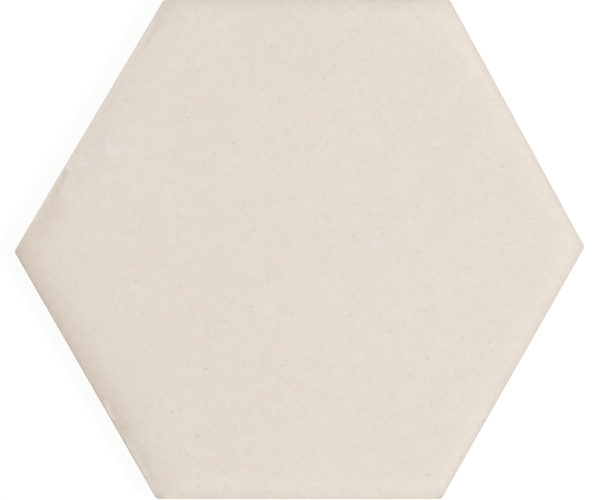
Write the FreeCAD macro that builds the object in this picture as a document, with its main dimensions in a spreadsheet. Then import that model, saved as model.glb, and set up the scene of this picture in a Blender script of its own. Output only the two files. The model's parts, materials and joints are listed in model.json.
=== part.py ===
"""Hexagon floor tile: one pressed, glazed and fired piece, lying glazed face up.

Frame, in millimetres: the origin is the middle of the back, on the floor. +Z points out of
the glazed face, +X at the east tip and +Y at the north side. The six sides are named by the
compass. They face and lie as the real tile's sides do, so the hexagon is not quite regular.
"""
import FreeCAD, Part
import math
import os
import Sketcher

doc = FreeCAD.newDocument("HexagonFloorTile")


# Driving dimensions, in millimetres and degrees

SIZES = (
    ("across_flats", 175.0, "north side to south side"),
    ("thickness", 9.0, "crests of the back ribs to the middle of the glazed face"),
    ("corner_radius", 1.8, "rounding of the six corners, seen from above"),
    ("north_east_shift", 0.70, "side further out than half of across_flats"),
    ("north_shift", 0.0, "side further out than half of across_flats"),
    ("north_west_shift", -1.86, "side further out than half of across_flats"),
    ("south_west_shift", -0.40, "side further out than half of across_flats"),
    ("south_shift", 0.0, "side further out than half of across_flats"),
    ("south_east_shift", -0.98, "side further out than half of across_flats"),
    ("north_east_angle", 28.61, "degrees, direction that the side faces"),
    ("north_angle", 90.0, "degrees, direction that the side faces"),
    ("north_west_angle", 149.30, "degrees, direction that the side faces"),
    ("south_west_angle", 209.86, "degrees, direction that the side faces"),
    ("south_angle", 270.0, "degrees, direction that the side faces"),
    ("south_east_angle", 330.38, "degrees, direction that the side faces"),
    ("rim_radius", 0.5, "arc from the side wall to the crown"),
    ("crown_width", 10.0, "side wall to the flat field, seen from above"),
    ("crown_angle", 7.0, "degrees, slope where the crown meets the rim arc"),
    ("field_corner_radius", 11.0, "corners of the flat field inside the crown"),
    ("undercut_width", 1.0, "bevel round the back, in from the side wall"),
    ("undercut_rise", 3.0, "bevel round the back, up the side wall"),
    ("back_rim_width", 10.0, "plain rim of the back, from the side wall to the key pattern"),
    ("key_corner_radius", 4.0, "corners of the key pattern's outline"),
    ("key_depth", 0.9, "cells of the key pattern, below the crests of the ribs"),
    ("key_draft_angle", 30.0, "degrees, cell walls off the pressing direction"),
    ("key_pitch", 19.675, "rib to rib, both ways"),
    ("rib_width", 2.4, "crest of a rib"),
)

sheet = doc.addObject("Spreadsheet::Sheet", "Sizes")
for row, (alias, size, meaning) in enumerate(SIZES, start=1):
    sheet.set(f"A{row}", alias)
    sheet.set(f"B{row}", str(size))
    sheet.set(f"C{row}", meaning)
    sheet.setAlias(f"B{row}", alias)
doc.recompute()


# Heights and radii that follow from the sizes, as expressions of the sheet

RIM_TURN = "(90 - Sizes.crown_angle)"
RIM_INSET = f"Sizes.rim_radius * (1 - cos({RIM_TURN} * 1 deg))"
RIM_HEIGHT = f"Sizes.rim_radius * sin({RIM_TURN} * 1 deg)"
CROWN_RADIUS = f"(Sizes.crown_width - {RIM_INSET}) / sin(Sizes.crown_angle * 1 deg)"
CROWN_DROP = f"{CROWN_RADIUS} * (1 - cos(Sizes.crown_angle * 1 deg))"
WALL_TOP = f"Sizes.thickness - {CROWN_DROP} - {RIM_HEIGHT}"


# The six sides, counterclockwise from the one that faces north east

SIDES = ("north_east", "north", "north_west", "south_west", "south", "south_east")


def number(expression):
    """Value of an expression of the sheet."""
    return float(sheet.evalExpression(expression))


def side_reach(side, inset):
    """Expression: distance of a side from the tile's axis, moved in by an inset."""
    return f"Sizes.across_flats / 2 + Sizes.{side}_shift - {inset}"


def corner_centres(normals, reaches, radius):
    """Centres of the arcs tangent to each side and the next one."""
    centres = []
    for k, normal in enumerate(normals):
        following = (k + 1) % len(normals)
        near = reaches[k] - radius
        far = reaches[following] - radius
        turn = normals[following] - normal
        along = (far - near * math.cos(turn)) / math.sin(turn)
        x = near * math.cos(normal) - along * math.sin(normal)
        y = near * math.sin(normal) + along * math.cos(normal)
        centres.append(FreeCAD.Vector(x, y, 0))
    return centres


def new_sketch(body, name, role, height="0"):
    """Empty sketch on one of the body's own origin planes, lifted along its normal."""
    plane = next(f for f in body.Origin.OriginFeatures if f.Role == role)
    sketch = body.newObject("Sketcher::SketchObject", name)
    sketch.AttachmentSupport = [(plane, "")]
    sketch.MapMode = "FlatFace"
    sketch.setExpression("AttachmentOffset.Base.z", height)
    return sketch


def bind(sketch, name, expression, kind, *places):
    """Adds a named constraint whose value follows an expression."""
    value = number(expression)
    if kind == "Angle":
        value = math.radians(value)
        expression = f"({expression}) * 1 deg"
    index = sketch.addConstraint(Sketcher.Constraint(kind, *places, value))
    sketch.renameConstraint(index, name)
    sketch.setExpression(f"Constraints.{name}", expression)


def hexagon_sketch(body, name, inset, radius, height):
    """The tile's outline moved in by an inset, with round corners, at a height."""
    normals = [math.radians(number(f"Sizes.{side}_angle")) for side in SIDES]
    reaches = [number(side_reach(side, inset)) for side in SIDES]
    rounding = number(radius)
    centres = corner_centres(normals, reaches, rounding)
    sketch = new_sketch(body, name, "XY_Plane", height)
    lines = []
    arcs = []
    for k, normal in enumerate(normals):
        outward = FreeCAD.Vector(math.cos(normal), math.sin(normal), 0) * rounding
        line = Part.LineSegment(centres[k - 1] + outward, centres[k] + outward)
        circle = Part.Circle(centres[k], FreeCAD.Vector(0, 0, 1), rounding)
        following = normals[(k + 1) % len(normals)]
        lines.append(sketch.addGeometry(line))
        arcs.append(sketch.addGeometry(Part.ArcOfCircle(circle, normal, following)))
    for k, side in enumerate(SIDES):
        following = lines[(k + 1) % len(lines)]
        sketch.addConstraint(Sketcher.Constraint("Tangent", lines[k], 2, arcs[k], 1))
        sketch.addConstraint(Sketcher.Constraint("Tangent", arcs[k], 2, following, 1))
        bind(sketch, f"{side}_reach", side_reach(side, inset), "Distance", -1, 1, lines[k])
        bind(sketch, f"{side}_run", f"Sizes.{side}_angle + 90", "Angle", lines[k])
    for arc in arcs[1:]:
        sketch.addConstraint(Sketcher.Constraint("Equal", arcs[0], arc))
    bind(sketch, "corner", radius, "Radius", arcs[0])
    return sketch


def loft(body, name, sections, ruled):
    """Solid through a list of sketches."""
    feature = body.newObject("PartDesign::AdditiveLoft", name)
    feature.Profile = sections[0]
    feature.Sections = sections[1:]
    feature.Ruled = ruled
    doc.recompute()


# The tile's body: undercut, side wall, rim arc and crown

ARC_STEPS = 3

tile = doc.addObject("PartDesign::Body", "HexagonTile")
tile.Label = "hexagon_tile"


def undercut():
    """Bevel between the back and the side wall, which leaves room for adhesive and grout."""
    back = hexagon_sketch(tile, "BackOutline", "Sizes.undercut_width", "Sizes.corner_radius", "0")
    foot = hexagon_sketch(tile, "WallFoot", "0", "Sizes.corner_radius", "Sizes.undercut_rise")
    loft(tile, "Undercut", [back, foot], True)


def side_wall():
    """Upright band that faces the grout joint."""
    outline = hexagon_sketch(
        tile, "WallOutline", "0", "Sizes.corner_radius", "Sizes.undercut_rise"
    )
    wall = tile.newObject("PartDesign::Pad", "SideWall")
    wall.Profile = outline
    wall.setExpression("Length", f"{WALL_TOP} - Sizes.undercut_rise")
    doc.recompute()


def roll_sketch(name, inset, height):
    """Section of the rolled edge. Its corners grow rounder towards the flat field."""
    growth = f"(Sizes.field_corner_radius - Sizes.corner_radius) * {inset} / Sizes.crown_width"
    return hexagon_sketch(tile, name, inset, f"Sizes.corner_radius + {growth}", height)


def rim():
    """Small arc from the upright wall to the foot of the crown."""
    sections = []
    for step in range(ARC_STEPS + 1):
        angle = f"{RIM_TURN} * {step / ARC_STEPS} * 1 deg"
        inset = f"(Sizes.rim_radius * (1 - cos({angle})))"
        height = f"{WALL_TOP} + Sizes.rim_radius * sin({angle})"
        sections.append(roll_sketch(f"Rim{step}", inset, height))
    loft(tile, "Rim", sections, False)


def crown():
    """Long shallow arc from the rim up to the flat field, tangent to both."""
    sections = []
    for step in range(ARC_STEPS + 1):
        angle = f"Sizes.crown_angle * {1 - step / ARC_STEPS} * 1 deg"
        inset = f"(Sizes.crown_width - {CROWN_RADIUS} * sin({angle}))"
        height = f"Sizes.thickness - {CROWN_RADIUS} * (1 - cos({angle}))"
        sections.append(roll_sketch(f"Crown{step}", inset, height))
    loft(tile, "Crown", sections, False)


undercut()
side_wall()
rim()
crown()


# The back's key pattern: drafted square cells between ribs. The punch that presses it is a
# body of its own, which is a tool and not a piece of the tile.

KEY_HALF_WIDTH = "(Sizes.across_flats / 2 - Sizes.back_rim_width)"
RIBS_WEST = f"floor({KEY_HALF_WIDTH} * 2 / sqrt(3) / Sizes.key_pitch)"
RIBS_SOUTH = f"floor({KEY_HALF_WIDTH} / Sizes.key_pitch)"

punch = doc.addObject("PartDesign::Body", "KeyPunch")
punch.Label = "key_punch"
punch.AllowCompound = True


def punch_plate():
    """The pattern's whole field, as deep as its cells, with drafted walls."""
    outline = hexagon_sketch(
        punch, "KeyOutline", "Sizes.back_rim_width", "Sizes.key_corner_radius", "0"
    )
    plate = punch.newObject("PartDesign::Pad", "KeyPlate")
    plate.Profile = outline
    plate.setExpression("Length", "Sizes.key_depth")
    plate.setExpression("TaperAngle", "-Sizes.key_draft_angle * 1 deg")
    doc.recompute()


def rib_sketch(name, role, first):
    """Section of the first groove in the punch, which leaves a rib on the tile."""
    sketch = new_sketch(punch, name, role)
    half_crest = number("Sizes.rib_width / 2")
    half_root = half_crest + number("Sizes.key_depth * tan(Sizes.key_draft_angle * 1 deg)")
    depth = number("Sizes.key_depth")
    middle = number(first)
    corners = [
        FreeCAD.Vector(middle - half_crest, 0, 0),
        FreeCAD.Vector(middle + half_crest, 0, 0),
        FreeCAD.Vector(middle + half_root, depth, 0),
        FreeCAD.Vector(middle - half_root, depth, 0),
    ]
    crest, right, root, left = (
        sketch.addGeometry(Part.LineSegment(corners[k], corners[(k + 1) % 4])) for k in range(4)
    )
    for here, following in ((crest, right), (right, root), (root, left), (left, crest)):
        sketch.addConstraint(Sketcher.Constraint("Coincident", here, 2, following, 1))
    sketch.addConstraint(Sketcher.Constraint("Horizontal", root))
    sketch.addConstraint(Sketcher.Constraint("PointOnObject", crest, 1, -1))
    sketch.addConstraint(Sketcher.Constraint("PointOnObject", crest, 2, -1))
    sketch.addConstraint(Sketcher.Constraint("Equal", left, right))
    bind(sketch, "crest", "Sizes.rib_width", "DistanceX", crest, 1, crest, 2)
    bind(sketch, "depth", "Sizes.key_depth", "DistanceY", crest, 2, root, 1)
    bind(sketch, "draft", "90 - Sizes.key_draft_angle", "Angle", right)
    bind(sketch, "first", f"{first} - Sizes.rib_width / 2", "DistanceX", -1, 1, crest, 1)
    return sketch


def rib_grooves(name, role, before_middle):
    """Grooves right across the punch: one on its middle, and so many on each side of it."""
    solid = punch.Shape.Volume
    groove = punch.newObject("PartDesign::Pocket", f"{name}Groove")
    sketch = rib_sketch(f"{name}Section", role, f"-Sizes.key_pitch * {before_middle}")
    groove.Profile = sketch
    groove.Type = "ThroughAll"
    groove.Midplane = True
    doc.recompute()
    pattern = punch.newObject("PartDesign::LinearPattern", f"{name}Pattern")
    pattern.Originals = [groove]
    pattern.Direction = (sketch, ["H_Axis"])
    pattern.setExpression("Length", f"2 * Sizes.key_pitch * {before_middle}")
    pattern.setExpression("Occurrences", f"2 * {before_middle} + 1")
    punch.Tip = pattern
    doc.recompute()
    if pattern.Shape.Volume >= solid:
        raise RuntimeError(f"{name} cuts nothing")


def key_pattern():
    """The tile's back with the punch pressed in."""
    solid = tile.Shape.Volume
    press = tile.newObject("PartDesign::Boolean", "KeyPattern")
    press.Type = "Cut"
    press.addObject(punch)
    tile.Tip = press
    doc.recompute()
    if press.Shape.Volume >= solid:
        raise RuntimeError("KeyPattern cuts nothing")


punch_plate()
rib_grooves("RibAlongY", "XZ_Plane", RIBS_WEST)
rib_grooves("RibAlongX", "YZ_Plane", RIBS_SOUTH)
key_pattern()


# Checks on the finished document, then the file of each piece

doc.recompute()
for feature in doc.Objects:
    if "Invalid" in feature.State or "Error" in feature.State:
        raise RuntimeError(f"{feature.Label} failed: {feature.State}")

pieces = [tile]
for piece in pieces:
    if piece.Shape.isNull() or not piece.Shape.isValid() or len(piece.Shape.Solids) != 1:
        raise RuntimeError(f"{piece.Label} is not one valid solid")

os.makedirs("parts", exist_ok=True)
for piece in pieces:
    piece.Shape.exportStep(f"parts/{piece.Label}.step")
    print(piece.Label, piece.Shape.BoundBox, f"volume {piece.Shape.Volume:.0f} mm3")
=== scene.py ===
"""Looks of the hexagon floor tile: its glazed face with rolled, hand-pressed edges, its side
walls with the glaze run over them, and its raw back with the key pattern.

Lengths are in millimetres until the mesh is made, which is in metres as the frame is. A place
on the tile is (east, north) from its middle. A place at an edge is the side's name, how far
along the side counterclockwise from its first corner, and how far in from the side wall.
"""
import json
import math
import random
from collections import namedtuple

import bpy
import numpy as np
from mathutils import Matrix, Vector, noise
from mathutils.geometry import delaunay_2d_cdt


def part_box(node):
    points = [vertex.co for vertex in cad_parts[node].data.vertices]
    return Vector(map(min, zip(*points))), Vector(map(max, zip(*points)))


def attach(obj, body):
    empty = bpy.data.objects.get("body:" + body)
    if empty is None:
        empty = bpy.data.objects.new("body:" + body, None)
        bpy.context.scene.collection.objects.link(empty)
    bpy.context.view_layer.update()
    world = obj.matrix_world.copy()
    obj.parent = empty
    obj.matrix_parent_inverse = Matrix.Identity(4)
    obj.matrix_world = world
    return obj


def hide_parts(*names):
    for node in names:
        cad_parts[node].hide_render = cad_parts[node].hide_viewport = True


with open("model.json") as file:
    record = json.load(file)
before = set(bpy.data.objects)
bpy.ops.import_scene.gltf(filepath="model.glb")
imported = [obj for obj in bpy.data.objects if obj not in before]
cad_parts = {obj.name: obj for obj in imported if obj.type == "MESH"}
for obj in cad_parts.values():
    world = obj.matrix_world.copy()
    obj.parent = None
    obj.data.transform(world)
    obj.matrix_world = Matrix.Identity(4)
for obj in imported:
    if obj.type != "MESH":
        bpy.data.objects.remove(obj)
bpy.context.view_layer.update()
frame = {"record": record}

MM = 0.001
rng = random.Random(7)


# The tile's sizes, as the solid has them

CORNER_RADIUS = 1.8
RIM_RADIUS = 0.5
CROWN_WIDTH = 10.0
CROWN_ANGLE = math.radians(7)
FIELD_CORNER_RADIUS = 11.0
UNDERCUT_WIDTH = 1.0
UNDERCUT_RISE = 3.0
BACK_RIM_WIDTH = 10.0
KEY_DEPTH = 0.9
KEY_PITCH = 19.675
RIB_WIDTH = 2.4

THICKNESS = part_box("hexagon_tile")[1].z / MM

RIM_TURN = math.pi / 2 - CROWN_ANGLE
RIM_INSET = RIM_RADIUS * (1 - math.cos(RIM_TURN))
CROWN_RADIUS = (CROWN_WIDTH - RIM_INSET) / math.sin(CROWN_ANGLE)
RIM_TOP = THICKNESS - CROWN_RADIUS * (1 - math.cos(CROWN_ANGLE))
WALL_TOP = RIM_TOP - RIM_RADIUS * math.sin(RIM_TURN)


# The six sides, counterclockwise, from the record's edge mounts

SIDES = ("north_east", "north", "north_west", "south_west", "south", "south_east")
mounts = {mount["name"]: mount for mount in frame["record"]["mounts"]}


def side_line(side):
    """Direction that a side faces, in radians, and its distance from the middle."""
    mount = mounts[f"edge_{side}"]
    east, north = mount["axis"][:2]
    reach = (east * mount["pos_m"][0] + north * mount["pos_m"][1]) / MM
    return math.atan2(north, east), reach


LINES = [side_line(side) for side in SIDES]
FACINGS = np.array([facing for facing, reach in LINES])
REACHES = np.array([reach for facing, reach in LINES])
OUTWARD = np.column_stack([np.cos(FACINGS), np.sin(FACINGS)])
AHEAD = np.column_stack([-OUTWARD[:, 1], OUTWARD[:, 0]])


def meeting_points(reaches):
    """Where each of six lines, at these reaches along the sides' facings, meets the next."""
    points = []
    for k in range(len(SIDES)):
        pair = [k, (k + 1) % len(SIDES)]
        points.append(np.linalg.solve(OUTWARD[pair], reaches[pair]))
    return np.array(points)


SHARP_CORNERS = meeting_points(REACHES)
INWARD_SHIFTS = SHARP_CORNERS - meeting_points(REACHES - 1)
TURNS = (np.roll(FACINGS, -1) - FACINGS) % math.tau


def corner_centres(inset, radius):
    """Centres of the arcs that round the corners of the outline moved in by an inset."""
    return SHARP_CORNERS - (inset + radius) * INWARD_SHIFTS


def edge_place(side, along, inset):
    """(east, north) of a place at an edge."""
    k = SIDES.index(side)
    return SHARP_CORNERS[k - 1] + along * AHEAD[k] - inset * OUTWARD[k]


def roll_radius(inset):
    """Corner radius of the rolled edge at an inset, rounder towards the flat field."""
    return CORNER_RADIUS + (FIELD_CORNER_RADIUS - CORNER_RADIUS) * inset / CROWN_WIDTH


def depth_inside(places, inset):
    """How far places lie inside the rolled edge's outline at an inset, or at an inset each."""
    inset = np.broadcast_to(inset, len(places))
    depth = (REACHES - places @ OUTWARD.T).min(axis=1) - inset
    radius = roll_radius(inset)
    for corner, shift, facing, turn in zip(SHARP_CORNERS, INWARD_SHIFTS, FACINGS, TURNS):
        away = places - (corner - (inset + radius)[:, None] * shift)
        angle = (np.arctan2(away[:, 1], away[:, 0]) - facing) % math.tau
        round_depth = radius - np.hypot(away[:, 0], away[:, 1])
        depth = np.where(angle < turn, np.minimum(depth, round_depth), depth)
    return depth


# Enough halvings of the crown's width to come within a few millionths of a millimetre

HALVINGS = 22


def roll_inset(places):
    """Inset of the rolled edge's outline that passes through each place, up to the field's."""
    low = np.zeros(len(places))
    high = np.full(len(places), CROWN_WIDTH)
    for halving in range(HALVINGS):
        middle = (low + high) / 2
        inside = depth_inside(places, middle) > 0
        low = np.where(inside, middle, low)
        high = np.where(inside, high, middle)
    return (low + high) / 2


def roll_height(inset):
    """Height of the plain rolled edge and field at an inset from the side wall."""
    inset = np.asarray(inset, float)
    rim_run = np.clip(RIM_RADIUS - inset, 0, RIM_RADIUS)
    rim = WALL_TOP + np.sqrt(np.maximum(RIM_RADIUS ** 2 - rim_run ** 2, 0))
    crown_run = np.clip(CROWN_WIDTH - inset, 0, CROWN_WIDTH)
    crown = THICKNESS - CROWN_RADIUS + np.sqrt(CROWN_RADIUS ** 2 - crown_run ** 2)
    return np.where(inset < RIM_INSET, rim, crown)


# Strokes that the maker's fingers and sponge left along the edges. Each has its side, from
# and to along it, inset at both ends, half width, how far it fades in from both ends, height,
# and how much thinner it leaves the glaze. A stroke of no height only recolours the glaze:
# those that lighten the crown on the north-east, south-east, north and south sides are painted
# highlight, and those that darken along the north-west side are painted shade.

Stroke = namedtuple(
    "Stroke",
    "side begin end begin_inset end_inset half_width begin_fade end_fade height thinning",
)
STROKES = (
    Stroke("north_west", 92.0, 78.0, 1.8, 1.6, 0.9, 5.0, 3.0, -0.06, 0.02),
    Stroke("north_west", 96.0, 76.0, 3.9, 4.6, 2.9, 6.0, 5.0, 0.00, 0.17),
    Stroke("north_west", 81.5, 68.4, 1.9, 1.4, 1.0, 5.0, 0.7, -0.12, 0.25),
    Stroke("north_west", 63.0, 58.6, 1.4, 1.2, 0.5, 1.5, 1.0, -0.07, 0.13),
    Stroke("north_west", 67.0, 41.0, 2.0, 2.2, 2.4, 6.0, 6.0, 0.00, -0.02),
    Stroke("north_west", 50.0, 26.0, 2.4, 2.5, 0.9, 9.0, 7.0, -0.03, 0.07),
    Stroke("north_west", 21.0, 5.5, 2.3, 2.4, 0.7, 4.0, 1.5, -0.12, 0.17),
    Stroke("north_west", 96.0, 76.0, 0.6, 0.6, 0.5, 3.0, 3.0, 0.00, -0.12),
    Stroke("north_west", 74.0, 46.0, 7.5, 8.0, 4.5, 9.0, 9.0, 0.00, 0.075),
    Stroke("south_west", 98.0, 75.4, 0.6, 1.3, 0.8, 3.0, 0.6, 0.05, -0.14),
    Stroke("south_west", 97.0, 80.0, 2.6, 3.0, 1.0, 5.0, 4.0, -0.05, 0.11),
    Stroke("south_west", 75.6, 57.0, 2.2, 3.6, 1.3, 0.6, 4.0, -0.02, 0.12),
    Stroke("south_west", 69.5, 60.8, 0.3, 1.7, 0.8, 2.5, 0.6, 0.03, -0.45),
    Stroke("south", 3.2, 5.4, 2.2, 3.6, 1.3, 1.0, 1.0, 0.00, 0.14),
    Stroke("south", 6.5, 27.0, 1.3, 1.4, 1.3, 1.0, 8.0, -0.02, 0.06),
    Stroke("south", 27.0, 44.0, 1.8, 0.8, 0.6, 5.0, 6.0, -0.02, 0.03),
    Stroke("south", 40.0, 86.0, 0.8, 0.6, 0.4, 6.0, 4.0, -0.01, 0.03),
    Stroke("south", 91.8, 97.0, 1.6, 1.5, 0.6, 1.0, 1.5, -0.03, 0.06),
    Stroke("south", 7.5, 99.0, 4.4, 4.8, 2.8, 3.0, 3.0, 0.00, -0.08),
    Stroke("south", 4.0, 34.0, 6.4, 6.4, 3.2, 6.0, 12.0, 0.00, -0.04),
    Stroke("south_east", -3.0, 12.0, 2.2, 2.6, 2.0, 3.0, 9.0, 0.00, -0.04),
    Stroke("south_east", 0.5, 50.0, 2.4, 3.4, 2.2, 2.0, 16.0, 0.00, -0.06),
    Stroke("south_east", 74.0, 101.0, 3.6, 4.4, 2.6, 10.0, 2.0, 0.00, -0.075),
    Stroke("north_east", 0.5, 10.0, 4.6, 4.2, 2.6, 2.0, 4.0, 0.00, -0.06),
    Stroke("north_east", 56.0, 98.0, 4.0, 4.0, 2.8, 16.0, 6.0, 0.00, -0.095),
    Stroke("north_east", 10.0, 62.0, 3.4, 3.8, 2.4, 8.0, 10.0, 0.00, -0.04),
    Stroke("north", 0.5, 50.0, 5.6, 5.6, 3.4, 2.0, 16.0, 0.00, -0.05),
)


def stroke_weight(places, stroke):
    """1 on a stroke's line and 0 away from it."""
    start = edge_place(stroke.side, stroke.begin, stroke.begin_inset)
    run = edge_place(stroke.side, stroke.end, stroke.end_inset) - start
    length = np.linalg.norm(run)
    run = run / length
    along = (places - start) @ run
    across = (places - start) @ np.array([-run[1], run[0]])
    ends = np.clip(np.minimum(along / stroke.begin_fade, (length - along) / stroke.end_fade), 0, 1)
    return ends * ends * (3 - 2 * ends) * np.exp(-(across / stroke.half_width) ** 2)


def soft_noise(places, length, seed):
    """Noise between about -1 and 1, with swells about so many millimetres long."""
    return np.array([noise.noise(Vector((east / length, north / length, seed))) for east, north in places])


def unevenness(places, layers):
    """Sum of soft noises, each given as its length, its seed and its height."""
    return sum(height * soft_noise(places, length, seed) for length, seed, height in layers)


# The face's slow swells as layers of noise, and how far they are sunk to stay under the top

SWELLS = ((26.0, 3.1, 0.05), (11.0, 8.4, 0.025))
FIELD_SINK = 0.06


def relief(places):
    """Height of the face's unevenness: strokes at the edges, slow swells all over."""
    height = unevenness(places, SWELLS) - FIELD_SINK
    for stroke in STROKES:
        height += stroke.height * stroke_weight(places, stroke)
    return height


# Pinholes in the glaze: east, north, radius

PINHOLES = (
    (-10.0, 71.0, 0.14), (-45.0, 62.0, 0.12), (-40.0, 48.0, 0.13), (-23.0, 37.5, 0.20),
    (-3.0, 17.5, 0.12), (-58.0, -4.0, 0.13), (-57.5, -11.5, 0.17), (-17.0, -20.0, 0.15),
    (-33.0, -42.0, 0.19), (-6.0, -40.5, 0.16), (-44.5, -57.0, 0.17), (-22.5, -62.0, 0.13),
    (-36.0, -65.5, 0.15), (-42.0, -71.5, 0.15), (-39.5, -72.0, 0.13), (28.0, 81.0, 0.13),
    (15.0, 76.5, 0.12), (8.5, 60.0, 0.13), (42.0, 56.5, 0.13), (21.5, 54.5, 0.13),
    (63.0, 56.0, 0.13), (28.5, 46.5, 0.12), (71.0, 29.0, 0.16), (25.0, 12.5, 0.14),
    (78.0, 12.0, 0.12), (10.5, -1.0, 0.14), (41.5, -0.5, 0.15), (92.0, -10.5, 0.18),
    (44.0, -21.5, 0.15), (67.5, -35.5, 0.15), (9.0, -37.5, 0.16), (45.0, -38.0, 0.17),
    (39.5, -45.0, 0.14), (36.5, -66.0, 0.13), (45.0, -79.0, 0.19),
)

# A pinhole's stain: how many radii wide, and how strong for each millimetre of radius

STAIN_REACH = 2.6
STAIN_STRENGTH = 1.85

# Small pale spots in the glaze: east, north, radius

PALE_SPOTS = (
    (-67.0, 39.0, 0.8), (-67.0, 38.0, 0.8), (-67.0, 36.5, 1.0), (-66.5, 35.0, 1.0),
    (-65.5, 34.0, 1.0), (-64.5, 34.5, 0.9), (-63.5, 35.5, 0.8), (-76.5, 33.5, 0.6),
    (-76.5, 32.0, 0.8), (-76.5, 30.0, 0.9), (-75.5, 29.5, 0.9), (-74.0, 30.0, 0.7),
    (-81.0, 28.5, 0.6), (-81.0, 30.5, 0.6), (-60.5, 29.0, 0.5), (-45.0, 10.5, 0.9),
    (-41.0, 14.0, 0.4), (26.5, 1.0, 0.9), (27.0, 2.5, 0.6), (27.5, 5.5, 0.6),
    (20.0, 0.5, 0.5), (29.5, -0.5, 0.5), (61.5, 9.0, 0.6),
)

# A hair burnt away in the glaze and left a fine line: east and north of its bends, how closely
# it is followed, how far off it rows of places run beside it, its half width and its strength

HAIR = (
    (46.0, -54.8), (46.4, -53.7), (46.9, -53.0), (47.6, -52.6), (48.3, -52.9),
    (48.8, -52.3), (49.6, -52.0), (50.3, -52.2), (50.7, -52.7),
)
HAIR_STEP = 0.2
HAIR_ROWS = (-0.45, -0.25, -0.12, 0.0, 0.12, 0.25, 0.45)
HAIR_WIDTH = 0.18
HAIR_STAIN = 0.18

# Edges where the glaze is thin and warm, and where this warm darkening is partly painted shade on the
# sides turned from the key lamp, most on the south-west: side, from and to along it, how far it fades
# beyond them, reach inwards, strength. A strength below 0 takes some of the warmth back.

THIN_AND_PAINTED_SHADE_EDGES = (
    ("north_west", 0.0, 103.0, 4.0, 3.0, 0.02),
    ("south_west", 0.0, 62.0, 0.7, 1.4, 0.21),
    ("south_west", 62.0, 100.0, 0.7, 1.2, 0.11),
    ("south", 0.0, 100.0, 4.0, 1.0, 0.05),
    ("south_west", 0.0, 72.0, 5.0, 6.5, 0.36),
    ("south_west", 75.4, 100.0, 0.7, 7.0, 0.17),
    ("south_east", 5.0, 95.0, 6.0, 1.7, 0.09),
    ("north_west", 84.0, 103.0, 7.0, 5.0, 0.13),
    ("north_west", 0.0, 42.0, 4.0, 0.4, -0.10),
    ("north_west", 69.0, 76.0, 2.0, 0.5, 0.15),
    ("south_west", 0.0, 56.0, 2.0, 0.4, 0.13),
    ("south_west", 69.0, 90.0, 2.0, 0.4, 0.13),
)

# Edges with painted shade, where the rolled edge turns down: darker and hardly warmer, given in the same
# way

PAINTED_SHADE_EDGES = (
    ("north_east", 0.0, 101.0, 4.0, 1.2, 0.18),
    ("north", 16.0, 101.0, 10.0, 2.6, 0.21),
    ("south_east", 5.0, 95.0, 6.0, 1.7, 0.18),
    ("north_east", 0.0, 103.0, 4.0, 0.4, 0.22),
    ("north", 0.0, 103.0, 4.0, 0.4, 0.12),
    ("south_east", 0.0, 103.0, 4.0, 0.4, 0.22),
)

# Warm corners, the western one partly painted shade where the tip turns from the key lamp: east, north,
# radius, strength

THIN_AND_PAINTED_SHADE_CORNERS = (
    (-98.0, 0.0, 6.0, 0.10),
    (-49.0, -87.1, 1.2, 0.58),
    (49.4, -87.0, 0.9, 0.45),
    (-48.0, 84.5, 6.0, 0.14),
)

# How thin the glaze is in the open field

FIELD_THIN = 0.08


def left_by_edges(places, edges):
    """What a table of edges leaves of the full glaze colour, 1 where it takes nothing."""
    left = np.ones(len(places))
    for side, begin, end, fade, reach, strength in edges:
        k = SIDES.index(side)
        inset = np.maximum(REACHES[k] - places @ OUTWARD[k], 0)
        along = (places - SHARP_CORNERS[k - 1]) @ AHEAD[k]
        outside = np.maximum(0, np.maximum(begin - along, along - end))
        left *= 1 - strength * np.exp(-(inset / reach)) * np.exp(-(outside / fade) ** 2)
    return left


def soft_spot(places, east, north, radius):
    """1 in the middle of a round spot, and 0 well outside its radius."""
    away = np.hypot(places[:, 0] - east, places[:, 1] - north)
    return np.exp(-(away / radius) ** 2)


def nearest_spot(places, spots):
    """1 in the middle of every spot, 0 away from them all."""
    return np.max([soft_spot(places, *spot) for spot in spots], axis=0)


def thin_glaze_and_painted_light(places):
    """How thin and warm the glaze is, from 0 to 1, with painted shade on the sides turned from the key
    lamp and painted highlight where strokes lighten the crown.
    """
    thick = (1 - FIELD_THIN) * left_by_edges(places, THIN_AND_PAINTED_SHADE_EDGES)
    for east, north, radius, strength in THIN_AND_PAINTED_SHADE_CORNERS:
        thick *= 1 - strength * soft_spot(places, east, north, radius)
    for stroke in STROKES:
        thick *= 1 - stroke.thinning * stroke_weight(places, stroke)
    return np.clip(1 - thick, 0, 1)


def hair_line():
    """Closely spaced places along the hair."""
    bends = np.array(HAIR)
    reached = np.append(0, np.cumsum(np.linalg.norm(np.diff(bends, axis=0), axis=1)))
    steps = np.arange(0, reached[-1], HAIR_STEP)
    return np.column_stack([np.interp(steps, reached, axis) for axis in bends.T])


def hair_rows():
    """Places along the hair and close to it on both sides."""
    line = hair_line()
    ahead = np.gradient(line, HAIR_STEP, axis=0)
    across = np.column_stack([-ahead[:, 1], ahead[:, 0]])
    return np.vstack([line + offset * across for offset in HAIR_ROWS])


def stain(places):
    """How much the glaze is stained at the hair and round the pinholes, more round wide ones."""
    hair = [(east, north, HAIR_WIDTH) for east, north in hair_line()]
    amount = HAIR_STAIN * nearest_spot(places, hair)
    for east, north, radius in PINHOLES:
        spot = soft_spot(places, east, north, STAIN_REACH * radius)
        amount = np.maximum(amount, STAIN_STRENGTH * radius * spot)
    return amount


# Materials of the shell's faces, which way a sheet faces, and what its triangulation is asked
# for: only the triangles inside the outline, and points this close together made one

GLAZE, BISCUIT = 0, 1
UP, DOWN = 1, -1
INSIDE_ONLY = 1
MERGE_DISTANCE = 1e-5


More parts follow.
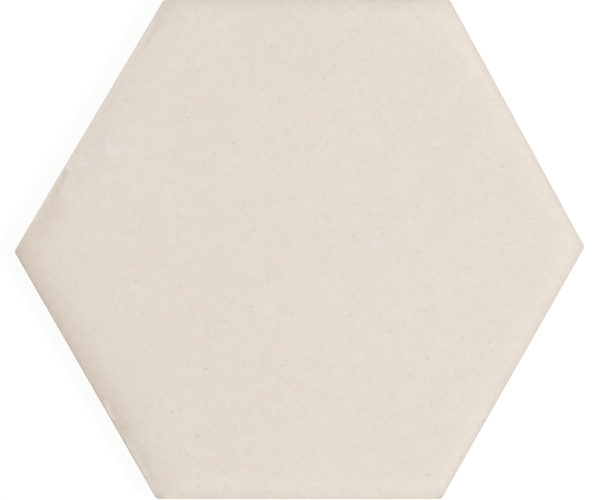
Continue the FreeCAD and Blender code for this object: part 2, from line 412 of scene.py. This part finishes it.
class Shell:
    """A closed mesh in the making, in millimetres."""

    def __init__(self):
        self.points = []
        self.faces = []
        self.materials = []

    def add(self, places, height):
        """Adds vertices over places, at one height or a height each, and gives their numbers."""
        first = len(self.points)
        self.points.extend(np.column_stack([places, np.broadcast_to(height, len(places))]))
        return list(range(first, len(self.points)))

    def band(self, lower, upper, material):
        """Quads that face outward, between two counterclockwise rings of equal length."""
        for k in range(len(lower)):
            following = (k + 1) % len(lower)
            self.faces.append((lower[k], lower[following], upper[following], upper[k]))
            self.materials.append(material)

    def sheet(self, loops, numbers, material, way):
        """Triangles that face up or down inside the first loop, with edges along all loops."""
        points = [Vector(self.points[number][:2]) for number in numbers]
        edges = [(loop[k - 1], loop[k]) for loop in loops for k in range(len(loop))]
        faces, old_numbers = delaunay_2d_cdt(points, edges, [], INSIDE_ONLY, MERGE_DISTANCE)[2:4]
        for face in faces:
            corners = [numbers[old_numbers[corner][0]] for corner in face]
            self.faces.append(tuple(corners[::way]))
            self.materials.append(material)


SIDE_STEPS = 132
CORNER_STEPS = 8


def ring_places(inset, radius):
    """Places round the outline moved in by an inset, the same count for every ring."""
    centres = corner_centres(inset, radius)
    ring = []
    for k in range(len(SIDES)):
        start = centres[k - 1] + radius * OUTWARD[k]
        end = centres[k] + radius * OUTWARD[k]
        ring.extend(start + (end - start) * step / SIDE_STEPS for step in range(SIDE_STEPS))
        for step in range(CORNER_STEPS):
            angle = FACINGS[k] + TURNS[k] * step / CORNER_STEPS
            ring.append(centres[k] + radius * np.array([math.cos(angle), math.sin(angle)]))
    return np.array(ring)


# Where the glaze ends on the side walls: height of its line, drips as layers of noise, and
# thickness of its film. It ends in a soft step, with a shoulder at this inset and rise above
# the line, and reaches its full thickness at STEP_RISE.

GLAZE_LINE = 4.6
DRIPS = ((9.0, 20.5, 0.75), (3.5, 31.5, 0.45))
GLAZE_FILM = 0.14
SHOULDER_INSET = GLAZE_FILM / 4
SHOULDER_RISE = 0.05
STEP_RISE = 0.22


def add_side_wall(shell):
    """Undercut and side wall up to the rim arc. Gives the back's ring and the wall's top ring."""
    wall = ring_places(0.0, CORNER_RADIUS)
    raw = ring_places(GLAZE_FILM, CORNER_RADIUS)
    shoulder = ring_places(SHOULDER_INSET, CORNER_RADIUS)
    line = GLAZE_LINE + unevenness(wall, DRIPS)
    step_top = line + STEP_RISE
    levels = (
        (raw, UNDERCUT_RISE, BISCUIT),
        (raw, (UNDERCUT_RISE + line) / 2, BISCUIT),
        (raw, line, BISCUIT),
        (shoulder, line + SHOULDER_RISE, GLAZE),
        (wall, step_top, GLAZE),
        (wall, (step_top + WALL_TOP) / 2, GLAZE),
        (wall, WALL_TOP, GLAZE),
    )
    back = shell.add(ring_places(UNDERCUT_WIDTH, CORNER_RADIUS), 0.0)
    below = back
    for places, height, material in levels:
        above = shell.add(places, height)
        shell.band(below, above, material)
        below = above
    return back, below


RIM_RINGS = 7
LIP_WIDTH = 3.6
LIP_RINGS = 7


def add_lip(shell, wall_top):
    """Rim arc and the crown's outer strip, in rings. Gives the strip's inner ring.

    The relief grows over the rim arc, so that the first ring meets the plain side wall.
    """
    turns = [RIM_TURN * step / RIM_RINGS for step in range(1, RIM_RINGS + 1)]
    rim = [RIM_RADIUS * (1 - math.cos(turn)) for turn in turns]
    strip = np.linspace(RIM_INSET, LIP_WIDTH, LIP_RINGS + 1)[1:]
    below = wall_top
    for inset in (*rim, *strip):
        places = ring_places(inset, roll_radius(inset))
        share = min(1.0, inset / RIM_INSET)
        height = roll_height(inset) + share * relief(places)
        above = shell.add(places, np.minimum(height, THICKNESS))
        shell.band(below, above, GLAZE)
        below = above
    return below


# The face inside the lip is a loose triangular grid: its spacing, and as shares of it how far
# apart its rows are, how far a place strays and how far it stays off the lip. The grid is first
# laid this many times as wide as the sides reach, to cover the corners.

FIELD_SPACING = 1.0
ROW_SHARE = 0.866
STRAY = 0.2
LIP_CLEARANCE = 0.6
GRID_REACH = 1.2


def face_grid():
    """Loosely spaced places inside the lip's inner ring."""
    count = int(GRID_REACH * REACHES.max() / FIELD_SPACING)
    places = []
    for row in range(-count, count + 1):
        for column in range(-count, count + 1):
            east = (column + 0.5 * (row % 2) + rng.uniform(-STRAY, STRAY)) * FIELD_SPACING
            north = (ROW_SHARE * row + rng.uniform(-STRAY, STRAY)) * FIELD_SPACING
            places.append((east, north))
    places = np.array(places)
    return places[depth_inside(places, LIP_WIDTH) > LIP_CLEARANCE * FIELD_SPACING]


# Pits for pinholes, in radii: their rings of places with the count in each, depth, width, and
# how much of the grid they clear, with a gap in millimetres. PIT_MARGIN is the least distance
# of a pit from the lip.

PIT_RINGS = ((0.45, 6), (0.9, 9), (1.5, 12), (2.3, 12), (3.3, 12), (4.8, 12))
PIT_DEPTH = 1.1
PIT_WIDTH = 0.75
PIT_CLEARANCE = 5.5
PIT_GAP = 0.3
PIT_MARGIN = 1.2


def pit_places(east, north, radius):
    """A pit's middle and the rings of places round it."""
    places = [(east, north)]
    for share, count in PIT_RINGS:
        reach = share * radius
        for k in range(count):
            angle = math.tau * k / count
            places.append((east + reach * math.cos(angle), north + reach * math.sin(angle)))
    return places


def add_face(shell, border):
    """The face inside the lip: the rest of the crown and the field, with pinholes as pits."""
    pits = np.array(PINHOLES)
    pits = pits[depth_inside(pits[:, :2], LIP_WIDTH) > PIT_MARGIN]
    places = face_grid()
    for east, north, radius in pits:
        away = np.hypot(places[:, 0] - east, places[:, 1] - north)
        kept = places[away > PIT_CLEARANCE * radius + PIT_GAP]
        places = np.vstack([kept, pit_places(east, north, radius)])
    places = np.vstack([places, hair_rows()])
    height = roll_height(roll_inset(places)) + relief(places)
    for east, north, radius in pits:
        height -= PIT_DEPTH * radius * soft_spot(places, east, north, PIT_WIDTH * radius)
    numbers = border + shell.add(places, np.minimum(height, THICKNESS))
    shell.sheet([range(len(border))], numbers, GLAZE, UP)


# Back: the key pattern's cells. A level is how far in from a cell's edge, and how deep. An arc
# takes CORNER_SHARE of an edge at most, and an edge under SHORTEST_EDGE is left out.

SQUARE = ((-1, -1), (1, -1), (1, 1), (-1, 1))
CELL_CORNER = 1.2
CELL_CORNER_STEPS = 5
CORNER_SHARE = 0.46
SHORTEST_EDGE = 0.3
KEY_LEVELS = ((-0.12, 0.0), (0.06, 0.05), (0.42, 0.70), (0.62, 0.86), (0.95, KEY_DEPTH))


def clip(polygon, outward, reach):
    """The part of a convex polygon that lies inside a line."""
    kept = []
    for k, point in enumerate(polygon):
        following = polygon[(k + 1) % len(polygon)]
        here = reach - outward @ point
        there = reach - outward @ following
        if here >= 0:
            kept.append(point)
        if here * there < 0:
            kept.append(point + (following - point) * here / (here - there))
    return kept


def rounded(polygon, radius):
    """A convex polygon with its corners turned into arcs, where its edges leave room."""
    points = []
    for k, corner in enumerate(polygon):
        back = polygon[k - 1] - corner
        ahead = polygon[(k + 1) % len(polygon)] - corner
        room = CORNER_SHARE * min(np.linalg.norm(back), np.linalg.norm(ahead))
        back = back / np.linalg.norm(back)
        ahead = ahead / np.linalg.norm(ahead)
        half = math.acos(back @ ahead) / 2
        used = min(radius, room * math.tan(half))
        centre = corner + (back + ahead) / np.linalg.norm(back + ahead) * used / math.sin(half)
        start = corner + back * used / math.tan(half) - centre
        for step in range(CELL_CORNER_STEPS + 1):
            angle = (math.pi - 2 * half) * step / CELL_CORNER_STEPS
            turn = np.array([[math.cos(angle), -math.sin(angle)], [math.sin(angle), math.cos(angle)]])
            points.append(centre + turn @ start)
    return np.array(points)


def cell_outline(middle, offset):
    """A cell's outline moved in by an offset, cut off at the pattern's border, or None."""
    half = (KEY_PITCH - RIB_WIDTH) / 2 - offset
    outline = [middle + half * np.array(corner) for corner in SQUARE]
    for outward, reach in zip(OUTWARD, REACHES):
        outline = clip(outline, outward, reach - BACK_RIM_WIDTH - offset)
    edges = [np.linalg.norm(point - outline[k - 1]) for k, point in enumerate(outline)]
    corners = [point for point, edge in zip(outline, edges) if edge > SHORTEST_EDGE]
    if len(corners) < 3:
        return None
    return rounded(corners, CELL_CORNER - offset)


def add_back(shell, back_ring):
    """The back's plain rim and ribs at the floor, and its cells pressed up into the body."""
    numbers = list(back_ring)
    loops = [range(len(back_ring))]
    reach = int(REACHES.max() / KEY_PITCH) + 2
    for column in range(-reach, reach):
        for row in range(-reach, reach):
            middle = (np.array([column, row]) + 0.5) * KEY_PITCH
            for offset, height in KEY_LEVELS:
                outline = cell_outline(middle, offset)
                if outline is None:
                    break
                loops.append(range(len(numbers), len(numbers) + len(outline)))
                numbers += shell.add(outline, height)
    shell.sheet(loops, numbers, BISCUIT, DOWN)


# Nodes. A fine noise mostly keeps to NOISE_RANGE and a broad one to BROAD_RANGE. A speck is
# full within SPECK_CORE of its radius. The Mix node has its colours at these sockets.

NOISE_RANGE = (0.3, 0.7)
BROAD_RANGE = (0.35, 0.65)
SPECK_CORE = 0.3
MIX_FIRST, MIX_SECOND, MIX_RESULT = 6, 7, 2


def link(tree, value, socket):
    """Sets a socket to a number or colour, or links another node's output to it."""
    if isinstance(value, bpy.types.NodeSocket):
        tree.links.new(value, socket)
    elif isinstance(value, tuple):
        socket.default_value = (*value, 1.0)
    else:
        socket.default_value = value


def calculate(tree, operation, first, second):
    """Output of a Math node."""
    node = tree.nodes.new("ShaderNodeMath")
    node.operation = operation
    link(tree, first, node.inputs[0])
    link(tree, second, node.inputs[1])
    return node.outputs[0]


def total(tree, value, parts):
    """A value with parts added to it."""
    for part in parts:
        value = calculate(tree, "ADD", value, part)
    return value


def rescale(tree, value, old_range, new_range):
    """Output of a Map Range node, clamped."""
    node = tree.nodes.new("ShaderNodeMapRange")
    for socket, amount in zip(node.inputs, (value, *old_range, *new_range)):
        link(tree, amount, socket)
    return node.outputs[0]


def mix(tree, factor, first, second, blend="MIX"):
    """Colour output of a Mix node."""
    node = tree.nodes.new("ShaderNodeMix")
    node.data_type = "RGBA"
    node.blend_type = blend
    link(tree, factor, node.inputs[0])
    link(tree, first, node.inputs[MIX_FIRST])
    link(tree, second, node.inputs[MIX_SECOND])
    return node.outputs[MIX_RESULT]


def noise_value(tree, place, size, detail):
    """Value of a Noise Texture with features about so many millimetres across."""
    node = tree.nodes.new("ShaderNodeTexNoise")
    link(tree, place, node.inputs["Vector"])
    node.inputs["Scale"].default_value = 1 / (size * MM)
    node.inputs["Detail"].default_value = detail
    return node.outputs[0]


def speck_value(tree, place, cell, radius, share):
    """1 in small specks, about one in each cube of so many millimetres, of which a share show."""
    node = tree.nodes.new("ShaderNodeTexVoronoi")
    link(tree, place, node.inputs["Vector"])
    node.inputs["Scale"].default_value = 1 / (cell * MM)
    chance = tree.nodes.new("ShaderNodeSeparateColor")
    tree.links.new(node.outputs["Color"], chance.inputs[0])
    fall = (radius / cell, SPECK_CORE * radius / cell)
    spot = rescale(tree, node.outputs["Distance"], fall, (0.0, 1.0))
    strength = rescale(tree, chance.outputs[0], (1 - share, 1.0), (0.0, 1.0))
    return calculate(tree, "MULTIPLY", spot, strength)


def attribute_value(tree, name):
    """A vertex attribute of the mesh."""
    node = tree.nodes.new("ShaderNodeAttribute")
    node.attribute_name = name
    return node.outputs["Fac"]


def bump(tree, height, distance, below=None):
    """Normal with a height, times a distance in millimetres, added to it."""
    node = tree.nodes.new("ShaderNodeBump")
    node.inputs["Distance"].default_value = distance * MM
    link(tree, height, node.inputs["Height"])
    if below is not None:
        link(tree, below, node.inputs["Normal"])
    return node.outputs[0]


def new_material(name):
    """A node material, its tree, its Principled shader and object coordinates."""
    material = bpy.data.materials.new(name)
    material.use_nodes = True
    tree = material.node_tree
    shader = tree.nodes["Principled BSDF"]
    place = tree.nodes.new("ShaderNodeTexCoord").outputs["Object"]
    return material, tree, shader, place


# Glaze: its colours

GLAZE_PINK = (0.809, 0.698, 0.648)
GLAZE_GREEN = (0.772, 0.734, 0.645)
# The next colour is thin glaze's warm colour, also used as painted shade on the edges turned from the key
# lamp
GLAZE_THIN_AND_PAINTED_SHADE = (0.500, 0.390, 0.280)
# The next colour is painted shade for the rolled edges where they turn down
PAINTED_SHADE_COLOUR = (0.415, 0.360, 0.312)
GLAZE_SPECK = (0.410, 0.350, 0.260)
PINHOLE_COLOUR = (0.360, 0.280, 0.210)
PALE_COLOUR = (0.790, 0.770, 0.760)

# Its noises: size of their features, and detail

CLOUD = (34.0, 2.0)
MOTTLE = (3.8, 3.0)
TINT = (0.95, 2.0)
GRAIN = (0.8, 1.0)
FINE_GRAIN = (0.42, 0.0)
FLECKS = (0.9, 0.0)
FILM = (2.2, 3.0)
PEEL = (2.6, 2.0)

# Its specks: size of the cells with one in each, radius, share of them that show

FAINT_SPECKS = (1.2, 0.30, 0.8)
CLEAR_SPECKS = (2.6, 0.40, 0.7)
SOFT_SPECKS = (3.2, 0.90, 1.0)

# How much of the mix from pink to green the fine tint and the cloud decide, how much each
# noise lightens and darkens, and how strongly each kind of speck shows

TINT_SHARE = 0.9
CLOUD_SHARE = 0.1
CLOUD_SHADE = 0.006
MOTTLE_SHADE = 0.016
GRAIN_SHADE = 0.014
FINE_GRAIN_SHADE = 0.028
FLECK_STRENGTH = 0.12
FAINT_STRENGTH = 0.15
CLEAR_STRENGTH = 0.30
SOFT_STRENGTH = 0.14

# The part of its noise's range that makes flecks, how unevenly the film thins, the grain's
# range in pale spots with their strength, the roughness with what the thin edges and the edges
# with painted shade add, and the heights of the orange peel and of the specks

FLECK_RANGE = (0.62, 0.85)
FILM_THINNING = (0.85, 1.15)
PALE_RANGE = (0.35, 0.6)
PALE_STRENGTH = (0.3, 0.9)
GLAZE_ROUGHNESS = (0.40, 0.48)
EDGE_ROUGHNESS = 0.5
PEEL_HEIGHT = 0.02
SPECK_HEIGHT = -0.01


def glaze_material():
    """Satin cream glaze: pink and green mottle, grain, flecks, specks, thin warm edges, with painted shade
    and painted highlight along the edges.
    """
    material, tree, shader, place = new_material("glaze")
    cloud = noise_value(tree, place, *CLOUD)
    mottle = noise_value(tree, place, *MOTTLE)
    grain = noise_value(tree, place, *GRAIN)

    hue = calculate(
        tree, "ADD",
        rescale(tree, noise_value(tree, place, *TINT), NOISE_RANGE, (0.0, TINT_SHARE)),
        rescale(tree, cloud, BROAD_RANGE, (0.0, CLOUD_SHARE)),
    )
    colour = mix(tree, hue, GLAZE_PINK, GLAZE_GREEN)

    shades = (
        (cloud, BROAD_RANGE, CLOUD_SHADE),
        (mottle, NOISE_RANGE, MOTTLE_SHADE),
        (grain, NOISE_RANGE, GRAIN_SHADE),
        (noise_value(tree, place, *FINE_GRAIN), NOISE_RANGE, FINE_GRAIN_SHADE),
    )
    shade = total(tree, 1.0, [rescale(tree, value, usual, (-most, most)) for value, usual, most in shades])
    colour = mix(tree, 1.0, colour, shade, "MULTIPLY")

    faint = speck_value(tree, place, *FAINT_SPECKS)
    clear = speck_value(tree, place, *CLEAR_SPECKS)
    kinds = (
        (rescale(tree, noise_value(tree, place, *FLECKS), FLECK_RANGE, (0.0, 1.0)), FLECK_STRENGTH),
        (faint, FAINT_STRENGTH),
        (clear, CLEAR_STRENGTH),
        (speck_value(tree, place, *SOFT_SPECKS), SOFT_STRENGTH),
    )
    specks = total(tree, 0.0, [calculate(tree, "MULTIPLY", kind, strength) for kind, strength in kinds])
    colour = mix(tree, specks, colour, GLAZE_SPECK)

    thin = attribute_value(tree, "thin")
    painted_shade = attribute_value(tree, "painted_shade")
    uneven = rescale(tree, noise_value(tree, place, *FILM), NOISE_RANGE, FILM_THINNING)
    # Thin glaze's warm colour, partly painted shade at the edges turned from the key lamp and painted
    # highlight where strokes lighten the crown
    colour = mix(tree, calculate(tree, "MULTIPLY", thin, uneven), colour, GLAZE_THIN_AND_PAINTED_SHADE)
    # Painted shade on the rolled edges where they turn down
    colour = mix(tree, painted_shade, colour, PAINTED_SHADE_COLOUR)
    pale = rescale(tree, grain, PALE_RANGE, PALE_STRENGTH)
    pale = calculate(tree, "MULTIPLY", attribute_value(tree, "pale"), pale)
    colour = mix(tree, pale, colour, PALE_COLOUR)
    colour = mix(tree, attribute_value(tree, "pinhole"), colour, PINHOLE_COLOUR)
    link(tree, colour, shader.inputs["Base Color"])

    dull = calculate(tree, "MULTIPLY", calculate(tree, "ADD", thin, painted_shade), EDGE_ROUGHNESS)
    roughness = calculate(tree, "ADD", rescale(tree, mottle, NOISE_RANGE, GLAZE_ROUGHNESS), dull)
    link(tree, roughness, shader.inputs["Roughness"])
    peel = bump(tree, noise_value(tree, place, *PEEL), PEEL_HEIGHT)
    peel = bump(tree, calculate(tree, "ADD", faint, clear), SPECK_HEIGHT, peel)
    link(tree, peel, shader.inputs["Normal"])
    return material


# Raw clay: its colours

BISCUIT_LIGHT = (0.640, 0.540, 0.430)
BISCUIT_DARK = (0.520, 0.420, 0.320)
BISCUIT_SPECK = (0.300, 0.210, 0.140)
DUST_COLOUR = (0.740, 0.690, 0.620)

# Its noises and specks, given as the glaze's are

PATCHES = (14.0, 4.0)
GRIT = (0.5, 4.0)
DUST = (5.5, 5.0)
LUMPS = (3.0, 3.0)
CLAY_SPECKS = (2.4, 0.45, 0.5)

# Ranges and strengths of its grit, specks and dust, how high above the floor the dust reaches,
# its roughness, and the heights of its grit and lumps

GRIT_RANGE = (0.35, 0.7)
GRIT_STRENGTH = (0.0, 0.5)
CLAY_SPECK_STRENGTH = 0.7
DUST_RANGE = (0.38, 0.64)
DUST_STRENGTH = (0.1, 0.65)
DUST_REACH = 0.25
BISCUIT_ROUGHNESS = (0.78, 0.95)
GRIT_HEIGHT = 0.06
LUMP_HEIGHT = 0.10


def biscuit_material():
    """Raw fired clay: buff, matt and gritty, with pale kiln dust on what touches the shelf."""
    material, tree, shader, place = new_material("biscuit")
    patch = rescale(tree, noise_value(tree, place, *PATCHES), BROAD_RANGE, (0.0, 1.0))
    grit = noise_value(tree, place, *GRIT)
    colour = mix(tree, patch, BISCUIT_LIGHT, BISCUIT_DARK)
    colour = mix(tree, rescale(tree, grit, GRIT_RANGE, GRIT_STRENGTH), colour, BISCUIT_DARK)
    specks = speck_value(tree, place, *CLAY_SPECKS)
    colour = mix(tree, calculate(tree, "MULTIPLY", specks, CLAY_SPECK_STRENGTH), colour, BISCUIT_SPECK)

    height = tree.nodes.new("ShaderNodeSeparateXYZ")
    tree.links.new(place, height.inputs[0])
    low = rescale(tree, height.outputs[2], (0.0, DUST_REACH * MM), (1.0, 0.0))
    dusty = rescale(tree, noise_value(tree, place, *DUST), DUST_RANGE, DUST_STRENGTH)
    colour = mix(tree, calculate(tree, "MULTIPLY", low, dusty), colour, DUST_COLOUR)
    link(tree, colour, shader.inputs["Base Color"])

    roughness = rescale(tree, grit, NOISE_RANGE, BISCUIT_ROUGHNESS)
    link(tree, roughness, shader.inputs["Roughness"])
    rough = bump(tree, grit, GRIT_HEIGHT)
    rough = bump(tree, noise_value(tree, place, *LUMPS), LUMP_HEIGHT, rough)
    link(tree, rough, shader.inputs["Normal"])
    return material


def add_object(name, data):
    """A new object in the scene."""
    thing = bpy.data.objects.new(name, data)
    bpy.context.scene.collection.objects.link(thing)
    return thing


# Edges sharper than this aren't smoothed over

SHARP_ANGLE = math.radians(35)


def build_tile():
    """The tile's shell as a Blender object."""
    shell = Shell()
    back_ring, wall_top = add_side_wall(shell)
    border = add_lip(shell, wall_top)
    add_face(shell, border)
    add_back(shell, back_ring)
    points = np.array(shell.points)
    mesh = bpy.data.meshes.new("glazed_tile")
    mesh.from_pydata([Vector(point) for point in points * MM], [], shell.faces)
    mesh.polygons.foreach_set("material_index", shell.materials)
    mesh.polygons.foreach_set("use_smooth", [True] * len(mesh.polygons))
    mesh.materials.append(glaze_material())
    mesh.materials.append(biscuit_material())
    places = points[:, :2]
    layers = {
        # Colour masks: thin glaze with painted shade and highlight, painted shade on the rims, pinhole and
        # hair stains, pale spots
        "thin": thin_glaze_and_painted_light(places),
        "painted_shade": 1 - left_by_edges(places, PAINTED_SHADE_EDGES),
        "pinhole": stain(places),
        "pale": nearest_spot(places, PALE_SPOTS),
    }
    for name, amounts in layers.items():
        layer = mesh.attributes.new(name, "FLOAT", "POINT")
        layer.data.foreach_set("value", amounts.astype(np.float32))
    mesh.update()
    mesh.set_sharp_from_angle(angle=SHARP_ANGLE)
    return add_object("glazed_tile", mesh)


tile = build_tile()
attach(tile, "root")
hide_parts("hexagon_tile")


# Floor and backdrop. Camera, mirror and see-through rays find them white. The floor keeps a
# part of its own shading, so that the tile's shadow shows. Its size is in metres. HORIZON_BAND
# is how far below the horizon the dome reaches the level of light thrown back by a floor.

WHITE = (1.0, 1.0, 1.0)
FLOOR_SIZE = 12.0
FLOOR_DROP = 0.02
FLOOR_GLOW = 0.91
FLOOR_COLOUR = (0.11, 0.11, 0.11)
DOME_LEVEL = 0.36
BOUNCE_LEVEL = 0.95
HORIZON_BAND = 0.05


def seen_directly(tree):
    """1 for camera, glossy and transmission rays, 0 for the others."""
    path = tree.nodes.new("ShaderNodeLightPath")
    seen = calculate(tree, "MAXIMUM", path.outputs["Is Camera Ray"], path.outputs["Is Glossy Ray"])
    return calculate(tree, "MAXIMUM", seen, path.outputs["Is Transmission Ray"])


def floor_material():
    """Nearly white where it is seen directly, clear from below so that the back can be seen."""
    material, tree, shader = new_material("floor")[:3]
    link(tree, FLOOR_COLOUR, shader.inputs["Base Color"])
    link(tree, 1.0, shader.inputs["Roughness"])
    link(tree, 0.0, shader.inputs["Specular IOR Level"])
    link(tree, WHITE, shader.inputs["Emission Color"])
    glow = calculate(tree, "MULTIPLY", seen_directly(tree), FLOOR_GLOW)
    link(tree, glow, shader.inputs["Emission Strength"])
    clear = tree.nodes.new("ShaderNodeBsdfTransparent")
    side = tree.nodes.new("ShaderNodeNewGeometry")
    either = tree.nodes.new("ShaderNodeMixShader")
    tree.links.new(side.outputs["Backfacing"], either.inputs[0])
    tree.links.new(shader.outputs[0], either.inputs[1])
    tree.links.new(clear.outputs[0], either.inputs[2])
    tree.links.new(either.outputs[0], tree.nodes["Material Output"].inputs["Surface"])
    return material


def build_floor():
    """A pale plane just under the tile."""
    half = FLOOR_SIZE / 2
    corners = [(half * east, half * north, -FLOOR_DROP * MM) for east, north in SQUARE]
    mesh = bpy.data.meshes.new("floor")
    mesh.from_pydata(corners, [], [(0, 1, 2, 3)])
    mesh.materials.append(floor_material())
    floor = add_object("floor", mesh)
    floor.visible_diffuse = False
    floor.visible_shadow = False
    return floor


def build_world():
    """An even dome that lights the tile from all round, brighter from below as off the floor."""
    world = bpy.data.worlds.new("dome")
    world.use_nodes = True
    bpy.context.scene.world = world
    tree = world.node_tree
    way = tree.nodes.new("ShaderNodeSeparateXYZ")
    tree.links.new(tree.nodes.new("ShaderNodeTexCoord").outputs["Generated"], way.inputs[0])
    level = rescale(tree, way.outputs[2], (-HORIZON_BAND, 0.0), (BOUNCE_LEVEL, DOME_LEVEL))
    strength = rescale(tree, seen_directly(tree), (0.0, 1.0), (level, 1.0))
    background = tree.nodes["Background"]
    link(tree, WHITE, background.inputs["Color"])
    link(tree, strength, background.inputs["Strength"])


# Lamps: name, size in metres, azimuth and zenith angle, and the level that a white surface
# flat on the floor gets from it. Their distance is in metres too.

LAMP_DISTANCE = 4.0
LAMPS = (
    ("key", 2.0, math.radians(-8), math.radians(44), 0.56),
    ("fill", 2.0, math.radians(142), math.radians(68), 0.105),
)


def build_lamp(name, size, azimuth, zenith, level):
    """A large soft lamp that shines on the tile's middle."""
    light = bpy.data.lights.new(name, "AREA")
    light.shape = "DISK"
    light.size = size
    light.energy = level * math.pi ** 2 * LAMP_DISTANCE ** 2 / math.cos(zenith)
    flat = math.sin(zenith)
    way = Vector((flat * math.cos(azimuth), flat * math.sin(azimuth), math.cos(zenith)))
    lamp = add_object(name, light)
    lamp.location = way * LAMP_DISTANCE
    lamp.rotation_euler = way.to_track_quat("Z", "Y").to_euler()


# Camera, straight over the tile. The photograph's frame is so wide at the height of the rim.
# What is nearer than CLIP_NEAR or farther than CLIP_FAR, in metres, isn't seen.

FRAME_WIDTH = 210.41
CAMERA_HEIGHT = 1500.0
CAMERA_EAST = 0.143
CAMERA_NORTH = -0.223
SENSOR_WIDTH = 36.0
CLIP_NEAR = 0.01
CLIP_FAR = 50.0


def build_camera():
    """The photograph's view as the scene's camera."""
    view = bpy.data.cameras.new("view")
    view.sensor_fit = "HORIZONTAL"
    view.sensor_width = SENSOR_WIDTH
    view.lens = SENSOR_WIDTH * CAMERA_HEIGHT / FRAME_WIDTH
    view.clip_start = CLIP_NEAR
    view.clip_end = CLIP_FAR
    camera = add_object("camera", view)
    camera.location = Vector((CAMERA_EAST, CAMERA_NORTH, WALL_TOP + CAMERA_HEIGHT)) * MM
    bpy.context.scene.camera = camera


floor = build_floor()
build_world()
for lamp in LAMPS:
    build_lamp(*lamp)
build_camera()
bpy.context.scene.view_settings.view_transform = "Standard"
